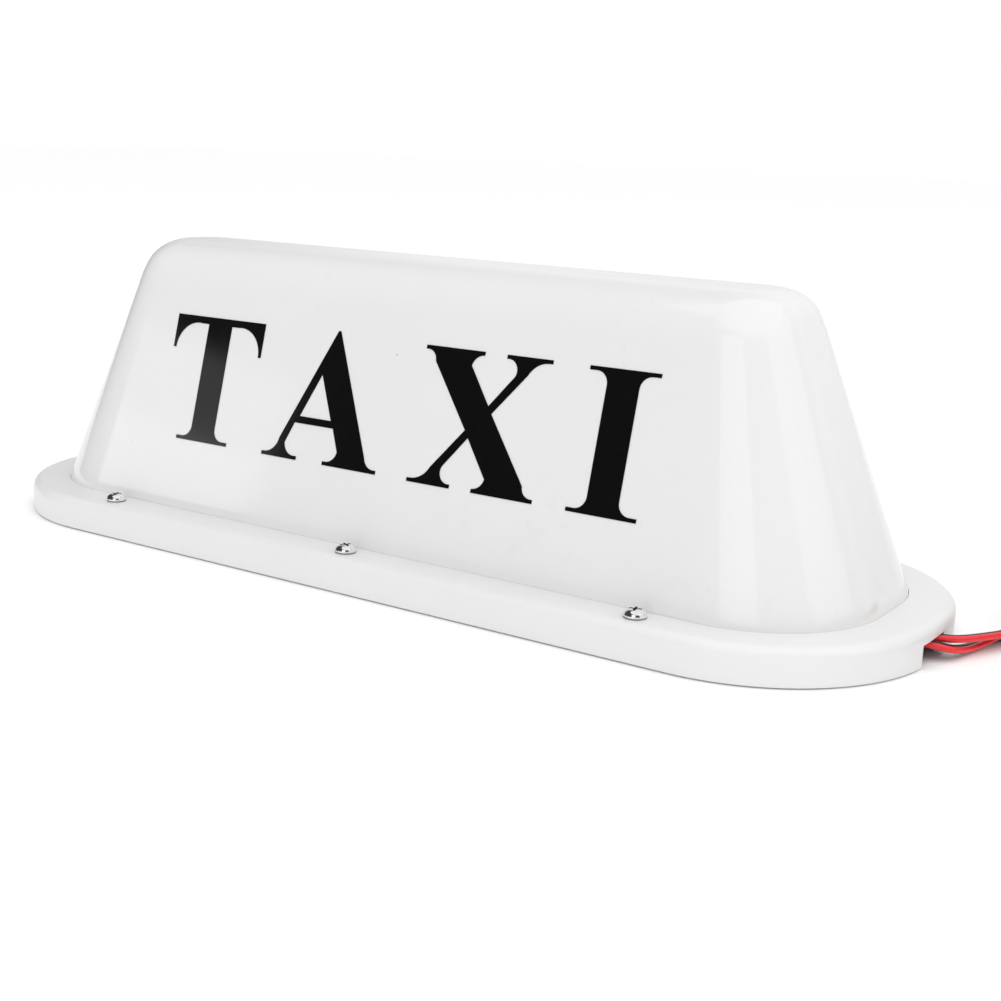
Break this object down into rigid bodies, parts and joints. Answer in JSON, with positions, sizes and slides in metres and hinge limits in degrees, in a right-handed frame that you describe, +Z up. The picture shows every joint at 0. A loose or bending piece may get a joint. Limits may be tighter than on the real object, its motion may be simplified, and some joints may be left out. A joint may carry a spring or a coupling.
{
  "type": "magnetic taxi roof light",
  "caption": "Illuminated taxi roof light: opal dome with black lettering on a screwed frame, magnet feet, twin leads and a 12 V accessory plug.",
  "frame": {"origin": "centre of the base on the surface that the magnets stand on", "axes": "+X along the light towards its cable notch, -Y out of the front face, +Z up through the dome"},
  "size_m": [0.434, 0.1477, 0.1025],
  "materials": {
    "aluminium_sheet": "mill-finish folded sheet",
    "black_plate": "black ABS, fine moulded texture",
    "black_rubber": "matt moulded rubber",
    "black_vinyl": "glossy black cut vinyl film",
    "board_white": "white solder mask",
    "brass_terminal": "stamped brass",
    "chrome_screw": "bright chromed steel",
    "ferrite": "ground ferrite",
    "foam": "closed-cell foam strip",
    "fuse_glass": "clear fuse glass",
    "lead_jacket": "glossy PVC, one conductor red and one black",
    "led_chip": "white package with yellow phosphor window",
    "nickel_contact": "nickel-plated spring steel and brass",
    "nylon": "natural nylon",
    "opal_dome": "glossy opal white acrylic, milky and slightly translucent",
    "plug_black": "black phenolic and ABS mouldings",
    "resistor_black": "matt black chip resistor",
    "spring_steel": "spring wire",
    "tie_band": "woven hook-and-loop band",
    "white_frame": "satin white ABS moulding",
    "zinc_steel": "zinc-plated steel"
  },
  "bodies": {
    "light": {"base_frame": "white_frame", "base_plate": "black_plate", "board_rivets": "nylon", "bracket_screws": "zinc_steel", "cable_grommet": "black_rubber", "clamp_screws": "zinc_steel", "coil_tie": "tie_band", "cover_gasket": "foam", "cover_screws": "chrome_screw", "dome_cover": "opal_dome", "front_inner_lead": "lead_jacket", "front_lead": "lead_jacket", "front_lead_coil": "lead_jacket", "front_lead_tail": "lead_jacket", "front_lettering": "black_vinyl", "lamp_board_front": "board_white", "lamp_board_rear": "board_white", "lamp_bracket": "aluminium_sheet", "lamp_leds_front": "led_chip", "lamp_leds_rear": "led_chip", "lamp_resistors_front": "resistor_black", "lamp_resistors_rear": "resistor_black", "lamp_socket_front": "nylon", "lamp_socket_rear": "nylon", "lead_clamp": "nylon", "magnet_boot_front_left": "black_rubber", "magnet_boot_front_right": "black_rubber", "magnet_boot_rear_left": "black_rubber", "magnet_boot_rear_right": "black_rubber", "magnet_cup_front_left": "zinc_steel", "magnet_cup_front_right": "zinc_steel", "magnet_cup_rear_left": "zinc_steel", "magnet_cup_rear_right": "zinc_steel", "magnet_disc_front_left": "ferrite", "magnet_disc_front_right": "ferrite", "magnet_disc_rear_left": "ferrite", "magnet_disc_rear_right": "ferrite", "magnet_nuts": "zinc_steel", "magnet_washers": "zinc_steel", "plug_body": "plug_black", "plug_nose_cap": "plug_black", "plug_spring": "spring_steel", "plug_strain_relief": "black_rubber", "plug_tail_cap": "plug_black", "plug_terminal": "brass_terminal", "rear_inner_lead": "lead_jacket", "rear_lead": "lead_jacket", "rear_lead_coil": "lead_jacket", "rear_lead_tail": "lead_jacket", "rear_lettering": "black_vinyl"},
    "centre_contact": {"plug_contact": "nickel_contact", "plug_fuse": "fuse_glass", "plug_fuse_caps": "nickel_contact"},
    "left_leaf": {"plug_side_contact_left": "nickel_contact"},
    "right_leaf": {"plug_side_contact_right": "nickel_contact"}
  },
  "joints": [
    {"name": "centre_contact_push", "type": "slide", "parent": "light", "child": "centre_contact", "axis": [0, 1, 0], "range_m": [0, 0.0025], "stiffness_N_per_m": 1500, "springref_m": -0.001, "deforming": ["plug_spring"]},
    {"name": "left_leaf_press", "type": "slide", "parent": "light", "child": "left_leaf", "axis": [1, 0, 0], "range_m": [0, 0.0012], "stiffness_N_per_m": 2500},
    {"name": "right_leaf_press", "type": "slide", "parent": "light", "child": "right_leaf", "axis": [-1, 0, 0], "range_m": [0, 0.0012], "stiffness_N_per_m": 2500}
  ]
}
